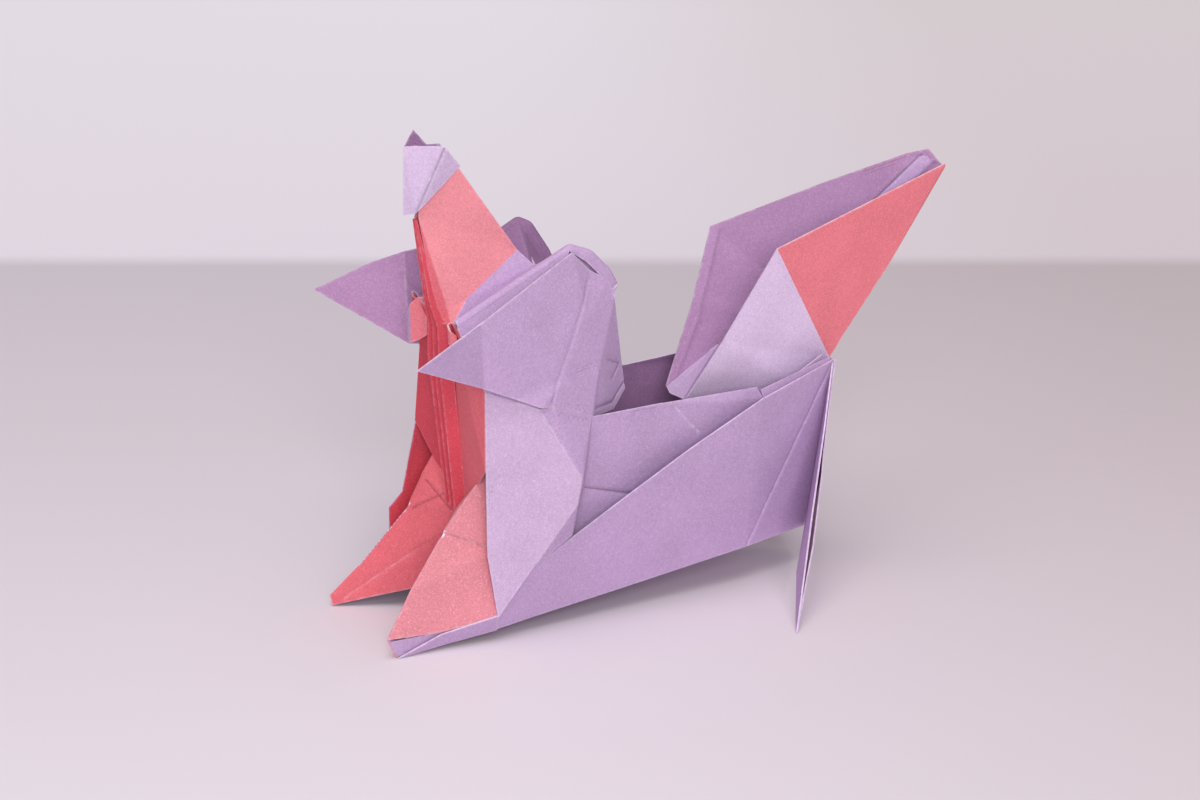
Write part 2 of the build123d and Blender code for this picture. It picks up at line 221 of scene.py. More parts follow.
def makePaper(name, ink, fleckInk, rough, flecks):
    # inks as colours on the screen; flecks: how much of the pale fleck ink shows
    base = fromScreen(*ink)
    material = bpy.data.materials.new(name)
    material.use_nodes = True
    tree = material.node_tree
    shader = tree.nodes["Principled BSDF"]
    shader.inputs["Roughness"].default_value = rough
    shader.inputs["Specular IOR Level"].default_value = grainLook["specular"]
    grain = addNode(tree, "ShaderNodeGroup", node_tree=paperGrain)
    worn = addNode(tree, "ShaderNodeGroup", node_tree=wearAndCreaseShade)
    ramp = addNode(tree, "ShaderNodeValToRGB")
    low, high = ramp.color_ramp.elements
    low.position, high.position = grainLook["tones"]
    low.color = toned(base, grainLook["darkest"])
    high.color = toned(base, grainLook["lightest"])
    link(tree, grain.outputs["Tone"], ramp.inputs["Fac"])
    specks = addNode(tree, "ShaderNodeMath", operation="MULTIPLY")
    link(tree, grain.outputs["Specks"], specks.inputs[0])
    specks.inputs[1].default_value = flecks
    flecked = addMix(tree, specks.outputs[0], ramp.outputs["Color"], fromScreen(*fleckInk))
    # painted shade along pressed creases, under the rubbed white fibres
    creaseShaded = addMix(tree, worn.outputs["CreaseShade"], flecked, toned(base, paper["creaseShadeTone"]))
    rubbed = addMix(tree, worn.outputs["Worn"], creaseShaded, wornLook["fibre"])
    link(tree, rubbed, shader.inputs["Base Color"])
    bump = addNode(tree, "ShaderNodeBump")
    bump.inputs["Strength"].default_value = grainLook["strength"]
    bump.inputs["Distance"].default_value = grainLook["depth"]
    link(tree, grain.outputs["Height"], bump.inputs["Height"])
    link(tree, bump.outputs["Normal"], shader.inputs["Normal"])
    return material


# The sheet has one lavender face and one coral face; the lighter and darker copies below paint light and
# shade into it.
lavender = makePaper("lavenderPaper", (190, 160, 199), (214, 191, 220), 0.82, 0.35)
# painted light: a lighter lavender for the neck's kite panels, which face the light
litKiteLavender = makePaper("litKiteLavenderPaper", (202, 175, 208), (223, 202, 228), 0.82, 0.35)
# painted light: a much lighter lavender that brightens the tail's lower near panel
litTailLavender = makePaper("litTailLavenderPaper", (227, 204, 235), (238, 220, 242), 0.82, 0.35)
# painted light: a lighter lavender for the nose, whose faces catch the light
litNoseLavender = makePaper("litNoseLavenderPaper", (208, 185, 216), (226, 206, 232), 0.82, 0.2)
# painted shade with a painted reflection of the coral: a darker, redder lavender for the far ear's inside
# and the tail's far half
shadedMauve = makePaper("shadedMauvePaper", (178, 138, 178), (202, 168, 202), 0.85, 0.35)
# painted shade: a dark lavender for far and hidden faces that lie in shade
shadedLavender = makePaper("shadedLavenderPaper", (141, 105, 143), (160, 124, 160), 0.85, 0.15)
coral = makePaper("coralPaper", (238, 131, 142), (246, 166, 174), 0.80, 0.35)
# painted light: a paler coral for the snout, where the light falls on it
litCoral = makePaper("litCoralPaper", (231, 144, 153), (242, 180, 188), 0.80, 0.1)
# painted light and painted sheen: a paler coral with many pale flecks for the lit near leg; the flecks are
# also the paper's fibres
litLegCoral = makePaper("litLegCoralPaper", (218, 136, 147), (238, 178, 186), 0.80, 0.6)
# painted shade with a painted reflection of the coral: a darker, redder coral for the breast, throat and
# far leg
shadedCoral = makePaper("shadedCoralPaper", (220, 106, 117), (232, 140, 148), 0.80, 0.35)
# painted shade with a painted reflection of the coral: a deep red for the far breast, the pleats and the
# inside of the kites
deepShadedCoral = makePaper("deepShadedCoralPaper", (209, 75, 90), (222, 106, 118), 0.80, 0.35)
corals = (coral, litCoral, litLegCoral, shadedCoral, deepShadedCoral)
# painted shade: coral darkened to maroon for the hidden inner face of each hind leg's front layer
darkShadedCoral = makePaper("darkShadedCoralPaper", (120, 40, 62), (150, 60, 80), 0.85, 0.1)
core = makePaper("paperCore", (202, 177, 210), (220, 200, 226), 0.90, 0.0)
coralCore = makePaper("coralPaperCore", (229, 152, 162), (238, 184, 192), 0.90, 0.0)
print("papers made")


# Folding

def placeCorners(part, shares, side):
    # named corners in metres; side is -1 towards the viewer and 1 on the far side
    reach, halfWidth, rise = part["size"]
    points = {}
    for name, (along, out, up) in shares.items():
        x = pawLine + part["start"][0] + along * reach
        z = footLift + part["start"][1] + up * rise
        points[name] = Vector((x, side * out * halfWidth, z))
    return points


def cornersOf(part, side):
    # the far side keeps its own corners where the hand folds differ
    shares = dict(part["corners"])
    if side > 0:
        shares.update(part.get("farCorners", {}))
    return placeCorners(part, shares, side)


def deselectAll():
    if bpy.context.object and bpy.context.object.mode != "OBJECT":
        bpy.ops.object.mode_set(mode="OBJECT")
    bpy.ops.object.select_all(action="DESELECT")


def addPanel(points, papers, ink):
    corners = len(points)
    bpy.ops.mesh.primitive_circle_add(vertices=corners, radius=mm, fill_type="NGON", location=(0, 0, 0))
    panel = bpy.context.object
    for vertex, point in zip(panel.data.vertices, points):
        vertex.co = point
    for material in papers:
        panel.data.materials.append(material)
    panel.data.polygons[0].material_index = ink
    return panel


def outlineOf(panels):
    # every edge between two corners, with the normals of the panels that share it
    edges = {}
    for points in panels:
        normal = Vector((0, 0, 0))
        for here, after in zip(points, points[1:] + points[:1]):
            normal += here.cross(after)
        normal.normalize()
        for here, after in zip(points, points[1:] + points[:1]):
            ends = [tuple(round(place, paper["decimals"]) for place in point) for point in (here, after)]
            edges.setdefault(tuple(sorted(ends)), []).append(normal)
    return edges


def linesOf(panels, sharp):
    # raw edges and folds, each with the wear it gets
    raw, folds = [], []
    for ends, normals in outlineOf(panels).items():
        if len(normals) == 1:
            raw.append((*ends, paper["rawWear"]))
        else:
            sine = normals[0].cross(normals[1]).length
            folds.append((*ends, paper["foldWear"] if sine > sharp else paper["softWear"]))
    return raw, folds


def distanceTo(points, normals, lines):
    # least distance of each point to the lines, up to a metre, and the wear of the nearest line,
    # which below 0 is the strength of a mark's painted crease shade; with normals given, height above a
    # line is left out
    least = np.full(len(points), 1.0)
    wear = np.zeros(len(points))
    for start, end, amount in lines:
        a, b = np.array(start), np.array(end)
        span = b - a
        t = np.clip(((points - a) @ span) / max(span @ span, 1e-12), 0, 1)
        away = points - (a + t[:, None] * span)
        if normals is not None:
            away = away - (away * normals).sum(1)[:, None] * normals
        far = np.sqrt((away ** 2).sum(1))
        closer = far < least
        least = np.where(closer, far, least)
        wear = np.where(closer, amount, wear)
    return least, wear


def fading(distance, width):
    return np.exp(-(distance / width) ** 2)


def meshArray(items, name, width, kind=np.float64):
    values = np.zeros(len(items) * width, kind)
    items.foreach_get(name, values)
    return values.reshape(-1, width)


def selectOnly(mesh, items, chosen):
    for every in (mesh.vertices, mesh.edges, mesh.polygons):
        every.foreach_set("select", np.zeros(len(every), bool))
    items.foreach_set("select", chosen)


def refine(piece, lines):
    # long edges are halved until the paper is fine beside its lines and coarser in the open
    fine, coarse = paper["fineCell"], paper["openCell"]
    bpy.context.tool_settings.mesh_select_mode = (False, True, False)
    for turn in range(paper["halvings"]):
        mesh = piece.data
        places = meshArray(mesh.vertices, "co", 3)
        ends = meshArray(mesh.edges, "vertices", 2, np.int32)
        a, b = places[ends[:, 0]], places[ends[:, 1]]
        long = np.sqrt(((a - b) ** 2).sum(1))
        near, _ = distanceTo((a + b) / 2, None, lines)
        allowed = np.clip(fine + (near - paper["fineReach"]) * paper["cellGrowth"], fine, coarse)
        chosen = long > allowed * paper["cellSlack"]
        if not chosen.any():
            break
        selectOnly(mesh, mesh.edges, chosen)
        bpy.ops.object.mode_set(mode="EDIT")
        bpy.ops.mesh.subdivide(number_cuts=1)
        bpy.ops.mesh.select_all(action="SELECT")
        bpy.ops.mesh.quads_convert_to_tris(quad_method="SHORTEST_DIAGONAL", ngon_method="BEAUTY")
        bpy.ops.object.mode_set(mode="OBJECT")


def softenFolds(piece, chosen, turns):
    selectOnly(piece.data, piece.data.vertices, chosen)
    bpy.context.tool_settings.mesh_select_mode = (True, False, False)
    bpy.ops.object.mode_set(mode="EDIT")
    bpy.ops.mesh.vertices_smooth(factor=paper["smoothing"], repeat=turns)
    bpy.ops.object.mode_set(mode="OBJECT")


def weigh(piece, name, weights):
    group = piece.vertex_groups.new(name=name)
    for index, weight in enumerate(weights):
        if weight > paper["leastWeight"]:
            group.add([index], float(weight), "REPLACE")
    return group.name


def finish(piece, modifier):
    bpy.context.view_layer.objects.active = piece
    bpy.ops.object.modifier_apply(modifier=modifier.name)


bowWaves = bpy.data.textures.new("paperBow", type="CLOUDS")
bowWaves.noise_scale = paper["bowSize"]
bowWaves.noise_depth = 1


def joinPanels(name, panels, outward, outer):
    deselectAll()
    made = [addPanel(points, outer, ink) for points, ink in panels]
    for panel in made:
        panel.select_set(True)
    piece = made[0]
    bpy.context.view_layer.objects.active = piece
    if len(made) > 1:
        bpy.ops.object.join()
    piece.name = piece.data.name = name
    bpy.ops.object.mode_set(mode="EDIT")
    bpy.ops.mesh.select_all(action="SELECT")
    bpy.ops.mesh.remove_doubles(threshold=paper["merge"])
    bpy.ops.mesh.normals_make_consistent(inside=False)
    bpy.ops.mesh.quads_convert_to_tris(quad_method="BEAUTY", ngon_method="BEAUTY")
    bpy.ops.object.mode_set(mode="OBJECT")
    first = panels[0][0]
    middle = sum(first, Vector((0, 0, 0))) / len(first)
    nearest = min(piece.data.polygons, key=lambda face: (face.center - middle).length)
    if nearest.normal.dot(Vector(outward)) < 0:
        bpy.ops.object.mode_set(mode="EDIT")
        bpy.ops.mesh.select_all(action="SELECT")
        bpy.ops.mesh.flip_normals()
        bpy.ops.object.mode_set(mode="OBJECT")
    return piece


def foldSheet(name, panels, outward, outer, inner, marks=(), sharp=paper["sharpFold"], soft=3,
        bow=1.0, wear=1.0):
    # panels: lists of points, each with the index of its outer paper; outward: where the first one faces
    # marks: creases pressed flat again, as two ends and a wear: below 0 the crease gets painted shade,
    # above 1 rubs a wider line
    # sharp: sine of a sharp fold; soft: smoothing turns; bow and wear: shares of the paper's own
    piece = joinPanels(name, panels, outward, outer)
    raw, folds = linesOf([points for points, ink in panels], sharp)
    refine(piece, raw + folds + list(marks))
    mesh = piece.data
    places = meshArray(mesh.vertices, "co", 3)
    normals = meshArray(mesh.vertices, "normal", 3)
    toRaw, rawWear = distanceTo(places, None, raw)
    toFold, foldWear = distanceTo(places, None, folds)
    toMark, markWearAndShade = distanceTo(places, normals, marks)
    softenFolds(piece, (toFold < paper["foldReach"]) & (toRaw > paper["rawReach"]), soft)
    width = paper["wornWidth"]
    onMark = markWearAndShade * fading(toMark, width)
    worn = np.maximum.reduce([rawWear * fading(toRaw, width), foldWear * fading(toFold, width), onMark])
    # the first attribute holds rubbed white fibres, the second the painted shade along marks below 0
    for attribute, values in (("wear", worn * wear), ("paintedCreaseShade", -onMark)):
        shades = mesh.attributes.new(attribute, "FLOAT", "POINT")
        shades.data.foreach_set("value", np.clip(values, 0, 1))
    if bow > 0:
        inOpen = np.clip(np.minimum(toRaw, toFold) / paper["bowReach"], 0, 1) ** paper["bowPower"]
        wave = piece.modifiers.new("bow", "DISPLACE")
        wave.texture = bowWaves
        wave.texture_coords = "LOCAL"
        wave.strength = 2 * paper["bow"] * bow
        wave.mid_level = 0.5
        wave.vertex_group = weigh(piece, "bow", inOpen)
        finish(piece, wave)
    if marks:
        press = piece.modifiers.new("press", "DISPLACE")
        press.strength = -paper["groove"]
        press.mid_level = 0
        press.vertex_group = weigh(piece, "press", fading(toMark, paper["grooveWidth"]))
        finish(piece, press)
    rim = [coralCore if face in corals else core for face in outer]
    for material in list(inner) + rim:
        mesh.materials.append(material)
    thick = piece.modifiers.new("layer", "SOLIDIFY")
    thick.thickness = paper["layer"]
    thick.offset = 0
    thick.material_offset = len(outer)
    thick.material_offset_rim = 2 * len(outer)
    finish(piece, thick)
    deselectAll()
    piece.select_set(True)
    bpy.context.view_layer.objects.active = piece
    bpy.ops.object.shade_smooth_by_angle(angle=paper["smoothAngle"])
    piece.vertex_groups.clear()
    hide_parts("folded_sheet")
    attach(piece, "root")


def panelsOf(points, outlines):
    # an outline is a line of corner names, or such a line with the index of its outer paper
    made = []
    for outline in outlines:
        names, ink = outline if isinstance(outline, tuple) else (outline, 0)
        made.append(([points[name] for name in names.split()], ink))
    return made


def marksOf(points, lines):
    # each mark: a line of corner names and the wear along it
    made = []
    for names, amount in lines:
        ends = [points[name] for name in names.split()]
        made += [(tuple(start), tuple(end), amount) for start, end in zip(ends, ends[1:])]
    return made


def stripsBetween(upper, lower, inks):
    # a strip folded across its length: panels between two rows of points
    panels = []
    for step, ink in enumerate(inks):
        panels.append(([upper[step], upper[step + 1], lower[step + 1], lower[step]], ink))
    return panels


def sideName(stem, side):
    return stem + ("Near" if side < 0 else "Far")


# Body

body = {
    "start": (0, 0),
    "size": (72.0 * mm, 12.5 * mm, 31.5 * mm),
    "corners": {
        "rimFront": (0.212, 1.020, 0.130),
        "rimA": (0.286, 1.020, 0.320),
        "rimB": (0.500, 0.960, 0.590),
        "rimC": (0.633, 0.890, 0.746),
        "rimD": (0.806, 0.720, 0.908),
        "hip": (1.000, 0.360, 1.000),
        "hemA": (0.217, 0.950, 0.048),
        "hemB": (0.305, 0.880, 0.067),
        "hemC": (0.493, 0.760, 0.108),
        "hemD": (0.790, 0.560, 0.175),
        "heel": (0.953, 0.256, 0.182),
        "keelA": (0.225, 0.000, 0.160),
        "keelB": (0.493, 0.000, 0.200),
        "keelC": (0.790, 0.000, 0.255),
        "sternLow": (0.970, 0.000, 0.210),
        "sternTop": (1.020, 0.000, 0.970),
        "topA": (0.333, 0.860, 0.958),
        "topB": (0.429, 0.850, 0.956),
        "topC": (0.586, 0.720, 0.955),
        "topD": (0.812, 0.500, 0.937),
        "notch": (0.826, 0.520, 0.878),
        "topHip": (0.986, 0.240, 1.018),
        "foldA": (0.333, 0.800, 0.630),
        "foldB": (0.418, 0.744, 0.616),
        "foldC": (0.520, 0.688, 0.546),
        "footA": (0.333, 0.800, 0.085),
        "footB": (0.493, 0.710, 0.125),
        "footC": (0.790, 0.500, 0.200),
        "footD": (0.944, 0.200, 0.210),
        "pressedA": (0.616, 0.683, 0.922),
        "pressedB": (0.672, 0.598, 0.785),
        "stripFront": (0.821, 0.500, 0.921),
        "stripHip": (0.996, 0.272, 1.003),
        "stripRear": (1.007, 0.304, 0.965),
        "stripLow": (0.831, 0.544, 0.850),
    },
    "farCorners": {
        "topA": (0.333, 0.900, 0.930),
        "topB": (0.429, 0.900, 0.930),
        "topC": (0.628, 0.864, 0.943),
        "topD": (0.792, 0.576, 1.022),
        "notch": (0.806, 0.590, 0.960),
        "stripFront": (0.802, 0.590, 0.985),
        "stripLow": (0.812, 0.620, 0.910),
    },
    "flankMarks": [("hip hemD", 0.45)],
    # on the inner flap, the foldA to foldC mark paints shade along its crease; the pressedA mark is worn
    # white
    "flapMarks": [("pressedA pressedB", 0.6), ("foldA foldB foldC", -0.7)],
}


def foldBody():
    for side in (-1, 1):
        points = cornersOf(body, side)
        foldSheet(sideName("flank", side), panelsOf(points, [
            "hemC hemB rimA rimB",
            "rimFront rimA hemB hemA",
            "hemD hemC rimB rimC rimD hip",
            "hip heel hemD",
            "hip sternTop sternLow heel",
        ]), (0, side, 0), [lavender], [lavender], marksOf(points, body["flankMarks"]), bow=0.7)
        foldSheet(sideName("belly", side), panelsOf(points, [
            "hemA hemB keelA",
            "hemB hemC keelB keelA",
            "hemC hemD keelC keelB",
            "hemD heel sternLow keelC",
        ]), (0, 0, -1), [lavender], [lavender])
        # the far inner flap's inner face takes the dark lavender: painted shade
        foldSheet(sideName("innerFlap", side), panelsOf(points, [
            "topA topB foldB foldA",
            "topB topC foldC foldB",
            "footC foldC topC topD notch topHip footD",
            "footB footA foldA foldB foldC",
            "footB foldC footC",
        ]), (0, side, 0), [lavender], [lavender if side < 0 else shadedLavender],
            marksOf(points, body["flapMarks"]) if side < 0 else ())
        foldSheet(sideName("hipStrip", side), panelsOf(points, [
            "stripFront stripHip stripRear stripLow",
        ]), (0, side, 0), [lavender], [lavender], bow=0)


# Neck and ears

neck = {
    "start": (14.0 * mm, 0),
    "size": (24.0 * mm, 14.0 * mm, 48.0 * mm),
    "corners": {
        "kiteTop": (0.015, 0.860, 0.755),
        "kiteA": (0.010, 0.870, 0.520),
        "kiteB": (0.005, 0.900, 0.270),
        "kiteBump": (0.014, 0.908, 0.232),
        "kiteFoot": (0.055, 0.940, 0.077),
        "creaseTop": (0.317, 0.970, 0.694),
        "shoulder": (0.575, 0.990, 0.467),
        "kiteLow": (0.546, 0.980, 0.392),
        "pocket": (0.275, 0.935, 0.212),
        "ridgeTop": (0.904, 0.485, 0.950),
        "ridgeA": (0.767, 0.643, 0.762),
        "ridgeB": (0.690, 0.765, 0.630),
        "ridgeC": (0.617, 0.857, 0.430),
        "ridgeD": (0.533, 0.880, 0.287),
        "creaseLow": (0.408, 0.950, 0.692),
        "creaseMid": (0.500, 0.836, 0.756),
        "creaseHigh": (0.683, 0.680, 0.923),
        "pollA": (0.735, 0.543, 1.045),
        "pollB": (0.863, 0.486, 1.008),
        "rimA": (1.004, 0.286, 0.725),
        "rimB": (1.025, 0.286, 0.652),
        "rimC": (0.908, 0.450, 0.610),
        "rimD": (0.733, 0.686, 0.620),
        "gullet": (-0.050, 0.343, 0.900),
        "throat": (-0.050, 0.220, 0.930),
        "breast": (0.042, 0.160, 0.342),
        "lineA": (0.711, 0.602, 1.016),
        "lineB": (0.515, 0.807, 0.813),
        "lineC": (0.400, 0.944, 0.707),
        "wallA": (0.835, 0.483, 0.772),
        "wallB": (0.974, 0.321, 0.735),
        "wallC": (0.893, 0.435, 0.704),
        "wallD": (0.964, 0.335, 0.731),
        "hemA": (0.733, 0.690, 0.645),
        "hemB": (0.900, 0.462, 0.634),
        "hemC": (1.018, 0.300, 0.670),
    },
    "farCorners": {
        "pollA": (0.715, 0.560, 1.035),
        "pollB": (0.815, 0.510, 0.985),
        "kiteTop": (-0.012, 0.820, 0.758),
        "kiteA": (-0.048, 0.843, 0.525),
        "kiteB": (-0.140, 0.864, 0.304),
        "kiteBump": (-0.225, 0.871, 0.258),
        "kiteFoot": (-0.228, 0.871, 0.156),
    },
    # every neck mark is below 0 and paints shade along its crease
    "marks": [
        ("lineA lineB lineC", -0.10),
        ("dentA dentB", -0.15),
        ("wallA wallB", -0.6),
        ("wallC wallD", -0.6),
        ("hemA hemB hemC", -0.7),
    ],
}

head = {
    "start": (1.0 * mm, 33.0 * mm),
    "size": (35.0 * mm, 22.0 * mm, 22.0 * mm),
    "corners": {
        "tip": (0.010, 0.980, 0.477),
        "earBend": (0.203, 0.809, 0.568),
        "earUp": (0.331, 0.695, 0.627),
        "earLow": (0.346, 0.677, 0.210),
        "earMid": (0.486, 0.650, 0.105),
        "earEnd": (0.591, 0.650, 0.027),
        "brow": (0.783, 0.410, 0.923),
        "rollOutFront": (0.309, 0.405, 0.527),
        "rollOutRear": (0.780, 0.377, 0.927),
        "rollTopFront": (0.306, 0.373, 0.564),
        "rollTopRear": (0.791, 0.345, 0.959),
        "rollInFront": (0.317, 0.336, 0.532),
        "rollInRear": (0.783, 0.314, 0.927),
        "valleyFront": (0.331, 0.227, 0.500),
        "valleyRear": (0.723, 0.041, 0.760),
        "bandA": (0.889, 0.318, 0.900),
        "bandB": (0.983, 0.282, 0.750),
        "bandC": (1.023, 0.255, 0.645),
        "bandLowA": (0.780, 0.340, 0.860),
        "bandLowB": (0.930, 0.280, 0.640),
        "roofOut": (0.760, 0.350, 0.864),
        "roofRear": (0.960, 0.290, 0.690),
        "roofLow": (0.930, -0.030, 0.550),
        "roofFront": (0.737, -0.030, 0.727),
        "roofMid": (0.920, 0.020, 0.560),
        "dentA": (0.329, 0.697, 0.610),
        "dentB": (0.379, 0.650, 0.474),
    },
    "farCorners": {
        "earBend": (0.220, 0.818, 0.659),
        "earUp": (0.343, 0.705, 0.741),
        "earLow": (0.340, 0.636, 0.141),
        "rollOutRear": (0.742, 0.377, 0.955),
        "rollTopRear": (0.752, 0.345, 0.986),
        "rollInRear": (0.744, 0.314, 0.955),
        "bandA": (0.800, 0.318, 0.952),
        "bandB": (0.878, 0.282, 0.744),
        "bandC": (0.920, 0.255, 0.610),
        "bandLowB": (0.840, 0.282, 0.631),
        "roofMid": (0.850, 0.020, 0.600),
        "roofRear": (0.880, 0.290, 0.677),
    },
}

browRoll = {
    "halfWidth": 0.80 * mm,
    "drop": 1.70 * mm,
    "endWear": 200,                      # the lower end is rubbed white
    "rimWear": 8,
    "steps": 7,
}


def foldNeck():
    for side in (-1, 1):
        points = {**cornersOf(neck, side), **cornersOf(head, side)}
        # the kite panels take the lighter lavender, painted light; the far ear's inside takes the darker
        # redder lavender and the kite's inside the deep red coral, painted shade and coral reflection
        foldSheet(sideName("earAndNeck", side), panelsOf(points, [
            "creaseMid creaseLow earEnd earMid earLow earUp",
            "earLow tip earBend earUp",
            "creaseMid earUp brow creaseHigh",
            "brow pollA creaseHigh",
            "creaseHigh pollA pollB",
            "creaseHigh pollB ridgeTop",
            "creaseMid creaseHigh ridgeTop ridgeA",
            "creaseLow creaseMid ridgeA ridgeB",
            "creaseTop creaseLow ridgeB ridgeC shoulder",
            "shoulder ridgeC kiteLow",
            "kiteLow ridgeC ridgeD pocket",
            ("kiteA kiteTop creaseTop shoulder kiteLow pocket kiteB", 1),
            ("pocket kiteFoot kiteBump kiteB", 1),
            "ridgeA ridgeTop rimA",
            "ridgeA rimA rimB rimC rimD ridgeB",
        ]), (0, side, 0), [lavender, litKiteLavender], [lavender if side < 0 else shadedMauve, deepShadedCoral],
            marksOf(points, neck["marks"]))


def arcBetween(out, top, into):
    # half of a small tube over the top, from its outer edge to its inner one
    middle = (out + into) / 2
    steps = browRoll["steps"]
    turns = [math.pi * step / steps for step in range(steps + 1)]
    return [middle + (out - middle) * math.cos(turn) + (top - middle) * math.sin(turn) for turn in turns]


def rollSections(points, side):
    # cross-sections of the rolled brow, from above the cheek back and down to the neck
    sections = []
    for end in ("Front", "Rear"):
        sections.append(arcBetween(*[points[line + end] for line in ("rollOut", "rollTop", "rollIn")]))
    reach = Vector((0, side * browRoll["halfWidth"], 0))
    path = [points[name] for name in ("rollTopRear", "bandA", "bandB", "bandC")]
    for before, here, after in zip(path, path[1:], path[2:] + path[-1:]):
        along = after - before
        foot = here - Vector((-along.z, 0, along.x)).normalized() * browRoll["drop"]
        sections.append(arcBetween(foot + reach, here, foot - reach))
    return sections


def foldHead():
    outerSteps = browRoll["steps"] // 2
    inks = [0] * outerSteps + [1] * (browRoll["steps"] - outerSteps)
    for side in (-1, 1):
        points = {**cornersOf(neck, side), **cornersOf(head, side)}
        panels = []
        sections = rollSections(points, side)
        for here, after in zip(sections, sections[1:]):
            panels += stripsBetween(here, after, inks)
        inside = [section[-1] for section in sections[1:]]
        panels += panelsOf(points, ["rollOutFront rollOutRear creaseTop kiteTop"])
        panels.append((inside + [points["roofMid"], points["valleyRear"]], 1))
        panels += panelsOf(points, [("rollInFront rollInRear valleyRear valleyFront", 1)])
        end = [tuple(point) for point in sections[-1]]
        marks = [(a, b, browRoll["endWear"]) for a, b in zip(end, end[1:])]
        marks += marksOf(points, [("bandB bandC", browRoll["rimWear"])])
        # on the far side the roll's inner half is the dark lavender: painted shade
        lining = lavender if side < 0 else shadedLavender
        foldSheet(sideName("browRoll", side), panels, (0, side, 0.2), [lavender, lining], [coral, coral],
            marks, sharp=paper["noneSharp"], bow=0)
        foldSheet(sideName("browBand", side), panelsOf(points, [
            "bandLowA rollTopRear bandA bandB bandLowB",
            "bandLowB bandB bandC",
            "bandLowB bandC ridgeTop",
        ]), (0, side, 0), [lavender], [lavender], bow=0, wear=0.3)
        # the far crown is the dark lavender: painted shade
        foldSheet(sideName("crown", side), panelsOf(points, [
            "roofOut roofRear roofLow roofFront",
        ]), (0, 0, 1), [lavender if side < 0 else shadedLavender], [coral], bow=0.5)


# Snout and nose

snout = {
    "start": (8.0 * mm, 44.0 * mm),
    "size": (18.0 * mm, 5.0 * mm, 26.0 * mm),
    "corners": {
        "ridgeTop": (0.428, 0.000, 0.780),
        "ridgeLow": (0.894, 0.000, 0.308),
        "lipTop": (0.080, 0.180, 0.552),
        "lipTuck": (0.090, 0.140, 0.660),
        "ridgeTuck": (0.350, 0.000, 0.840),
        "chin": (0.200, 0.440, -0.020),
        "cheek": (0.389, 0.760, 0.112),
        "noseFront": (0.000, 0.000, 0.923),
        "noseLow": (-0.015, 0.000, 0.561),
        "noseSide": (0.299, 0.220, 0.908),
        "noseCrease": (0.055, 0.260, 0.575),
        "noseBack": (0.439, 0.000, 0.792),
        "nosePeak": (0.072, 0.000, 1.005),
        "nosePeakBack": (0.200, 0.060, 0.900),
        "rubbedA": (0.170, 0.250, 0.740),
        "rubbedB": (0.185, 0.248, 0.752),
    },
    "farCorners": {
        "chin": (0.180, 0.200, 0.060),
        "lipTop": (0.077, 0.060, 0.547),
        "noseCrease": (0.060, 0.120, 0.575),
    },
    # the nose crease mark paints shade along the crease; the rubbed mark is worn white
    "noseMarks": [("noseSide noseCrease", -0.8), ("rubbedA rubbedB", 0.9)],
    "sharp": 0.98,
}


def foldSnout():
    for side in (-1, 1):
        points = cornersOf(snout, side)
        valley = cornersOf(head, side)
        points["valleyFront"], points["valleyRear"] = valley["valleyFront"], valley["valleyRear"]
        # the snout's outside is the paler coral: painted light
        foldSheet(sideName("snout", side), panelsOf(points, [
            "ridgeTop ridgeLow cheek chin lipTop",
            "ridgeTop lipTop lipTuck ridgeTuck",
            ("ridgeLow valleyRear valleyFront cheek", 1),
            "cheek valleyFront chin",
        ]), (0, side, 0), [litCoral, lavender], [coral, lavender],
            sharp=snout["sharp"], bow=0.5, wear=0.6)
        # the nose is the lighter lavender: painted light
        foldSheet(sideName("nose", side), panelsOf(points, [
            "noseFront noseSide noseCrease noseLow",
            "noseSide noseBack noseCrease",
        ]), (-0.5, side, 0), [litNoseLavender], [lavender], marksOf(points, snout["noseMarks"]), bow=0)
        # the nose peak is the dark lavender on both faces: painted shade
        foldSheet(sideName("nosePeak", side), panelsOf(points, [
            "noseFront nosePeak nosePeakBack noseSide",
        ]), (0, side, 0), [shadedLavender], [shadedLavender], bow=0)


# Chest: flat breast panels, and pleats that run from the mouth down to the legs

pleats = {
    "start": (8.0 * mm, 0),
    "size": (8.0 * mm, 5.0 * mm, 60.0 * mm),
    "count": 3,
    "stations": {                         # middle of the pleats, then their half width and their depth
        "mouth": ((0.170, -0.040, 0.965), 0.50 * mm, 0.30 * mm),
        "chin": ((0.420, -0.100, 0.772), 1.60 * mm, 0.80 * mm),
        "gullet": ((0.560, -0.080, 0.716), 2.90 * mm, 1.10 * mm),
        "throat": ((0.625, -0.060, 0.640), 3.20 * mm, 1.60 * mm),
        "breast": ((0.885, 0.000, 0.262), 2.60 * mm, 1.50 * mm),
    },
    "curl": {
        "fromChest": (0.613, 1.200, 0.750),
        "turnA": (0.500, 1.440, 0.747),
        "turnB": (0.413, 1.680, 0.727),
        "turnC": (0.400, 1.880, 0.700),
        "curlEnd": (0.488, 2.020, 0.687),
        "fromChestLow": (0.613, 1.240, 0.658),
        "turnALow": (0.500, 1.440, 0.643),
        "turnBLow": (0.413, 1.680, 0.632),
        "turnCLow": (0.400, 1.860, 0.630),
        "curlEndLow": (0.488, 1.980, 0.638),
    },
    "knob": {
        "fromChest": (0.600, 0.800, 0.737),
        "turnA": (0.480, 0.980, 0.733),
        "turnB": (0.480, 1.180, 0.722),
        "turnC": (0.575, 1.260, 0.713),
        "fromChestLow": (0.613, 0.800, 0.693),
        "turnALow": (0.500, 0.980, 0.690),
        "turnBLow": (0.513, 1.180, 0.683),
        "turnCLow": (0.588, 1.260, 0.687),
    },
    "sharp": 0.9,
}


